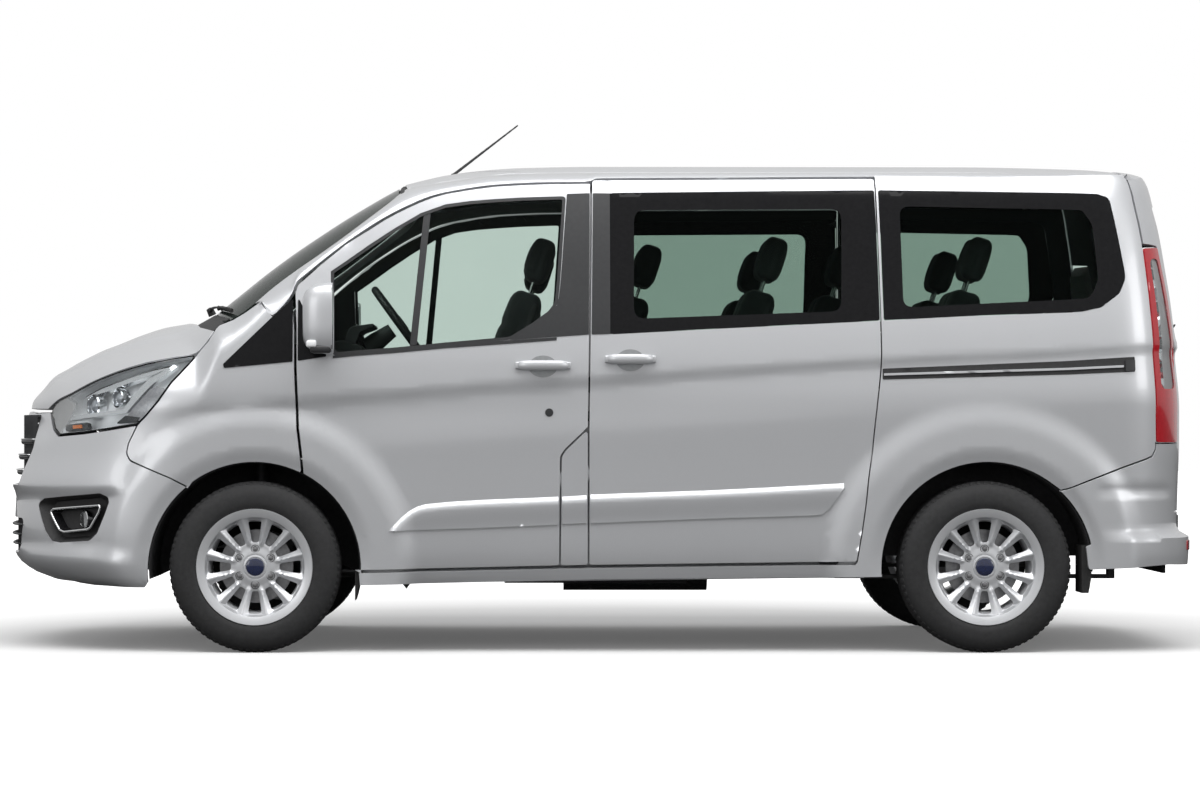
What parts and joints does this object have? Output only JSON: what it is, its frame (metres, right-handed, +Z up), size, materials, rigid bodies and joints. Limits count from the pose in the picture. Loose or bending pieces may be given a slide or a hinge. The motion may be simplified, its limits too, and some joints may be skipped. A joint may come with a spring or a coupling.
{
  "type": "minibus",
  "caption": "Passenger minibus with a hollow cabin, opening front doors, tailgate, bonnet and fuel flap, fixed sliding doors, steered front wheels and turning wheels.",
  "frame": {"origin": "on the ground, under the middle of the vehicle's length and width", "axes": "+X forwards, +Y to the vehicle's left, +Z up"},
  "size_m": [4.91, 2.27, 2.2069],
  "materials": {
    "paint": "light silver metallic, glossy",
    "underbody": "dark underseal",
    "black_trim": "satin black",
    "black_plastic": "moulded, matt",
    "lamp_lens": "clear",
    "red_lens": "clear red",
    "clear_glass": "light green tint",
    "dark_glass": "dark green tint",
    "cabin_trim": "fine grain",
    "seat_cloth": "woven, dark grey",
    "engine_metal": "cast",
    "chassis_metal": "black paint",
    "exhaust_metal": "dull",
    "rubber": "matt",
    "tyre": "matt",
    "alloy": "silver lacquer"
  },
  "bodies": {
    "body": {"floor_pan": "underbody", "roof_panel": "paint", "body_side_left": "paint", "body_side_right": "paint", "front_wings": "paint", "front_bumper": "paint", "rear_bumper": "paint", "grille": "black_trim", "front_lamps": "lamp_lens", "tail_lamps": "red_lens", "windscreen": "clear_glass", "side_windows": "dark_glass", "dashboard": "cabin_trim", "front_seats": "seat_cloth", "rear_seats": "seat_cloth", "engine": "engine_metal", "front_subframe": "chassis_metal", "rear_axle": "chassis_metal", "exhaust": "exhaust_metal", "fuel_tank": "black_plastic", "mud_flaps": "rubber", "sliding_door_left": "paint", "sliding_door_right": "paint", "door_tracks": "black_trim", "cowl": "black_plastic", "antenna": "black_plastic"},
    "door_left": {"front_door_left": "paint", "front_window_left": "clear_glass", "mirror_left": "paint"},
    "door_right": {"front_door_right": "paint", "front_window_right": "clear_glass", "mirror_right": "paint"},
    "hatch": {"tailgate": "paint", "rear_window": "dark_glass"},
    "bonnet_lid": {"bonnet": "paint"},
    "filler_flap": {"fuel_flap": "paint"},
    "steering": {"steering_wheel": "cabin_trim"},
    "hub_left": {"knuckle_left": "chassis_metal"},
    "hub_right": {"knuckle_right": "chassis_metal"},
    "wheel_front_left": {"tyre_front_left": "tyre", "rim_front_left": "alloy"},
    "wheel_front_right": {"tyre_front_right": "tyre", "rim_front_right": "alloy"},
    "wheel_rear_left": {"tyre_rear_left": "tyre", "rim_rear_left": "alloy"},
    "wheel_rear_right": {"tyre_rear_right": "tyre", "rim_rear_right": "alloy"}
  },
  "joints": [
    {"name": "door_left_hinge", "type": "hinge", "parent": "body", "child": "door_left", "pos_m": [1.142, 0.983, 1], "axis": [0, 0, -1], "range_deg": [0, 68]},
    {"name": "door_right_hinge", "type": "hinge", "parent": "body", "child": "door_right", "pos_m": [1.142, -0.983, 1], "axis": [0, 0, 1], "range_deg": [0, 68]},
    {"name": "tailgate_hinge", "type": "hinge", "parent": "body", "child": "hatch", "pos_m": [-2.197, 0, 1.958], "axis": [0, 1, 0], "range_deg": [0, 85]},
    {"name": "bonnet_hinge", "type": "hinge", "parent": "body", "child": "bonnet_lid", "pos_m": [1.5, 0, 1.345], "axis": [0, -1, 0], "range_deg": [0, 48]},
    {"name": "fuel_flap_hinge", "type": "hinge", "parent": "body", "child": "filler_flap", "pos_m": [0.036, 0.989, 0.6], "axis": [0, 0, 1], "range_deg": [0, 80]},
    {"name": "steer_left", "type": "hinge", "parent": "body", "child": "hub_left", "pos_m": [1.367, 0.8, 0.344], "axis": [0, 0, 1], "range_deg": [-35, 35]},
    {"name": "steer_right", "type": "hinge", "parent": "body", "child": "hub_right", "pos_m": [1.367, -0.8, 0.344], "axis": [0, 0, 1], "range_deg": [-35, 35]},
    {"name": "steering_wheel_turn", "type": "hinge", "parent": "body", "child": "steering", "pos_m": [0.802, 0.463, 1.333], "axis": [-0.809, 0, 0.5878], "range_deg": [-540, 540]},
    {"name": "roll_front_left", "type": "hinge", "parent": "hub_left", "child": "wheel_front_left", "pos_m": [1.367, 0.868, 0.344], "axis": [0, 1, 0], "continuous": true},
    {"name": "roll_front_right", "type": "hinge", "parent": "hub_right", "child": "wheel_front_right", "pos_m": [1.367, -0.868, 0.344], "axis": [0, 1, 0], "continuous": true},
    {"name": "roll_rear_left", "type": "hinge", "parent": "body", "child": "wheel_rear_left", "pos_m": [-1.566, 0.868, 0.344], "axis": [0, 1, 0], "continuous": true},
    {"name": "roll_rear_right", "type": "hinge", "parent": "body", "child": "wheel_rear_right", "pos_m": [-1.566, -0.868, 0.344], "axis": [0, 1, 0], "continuous": true}
  ],
  "couplings": [
    {"joint": "steer_right", "follows": "steer_left", "ratio": 1},
    {"joint": "steering_wheel_turn", "follows": "steer_left", "ratio": 15}
  ]
}
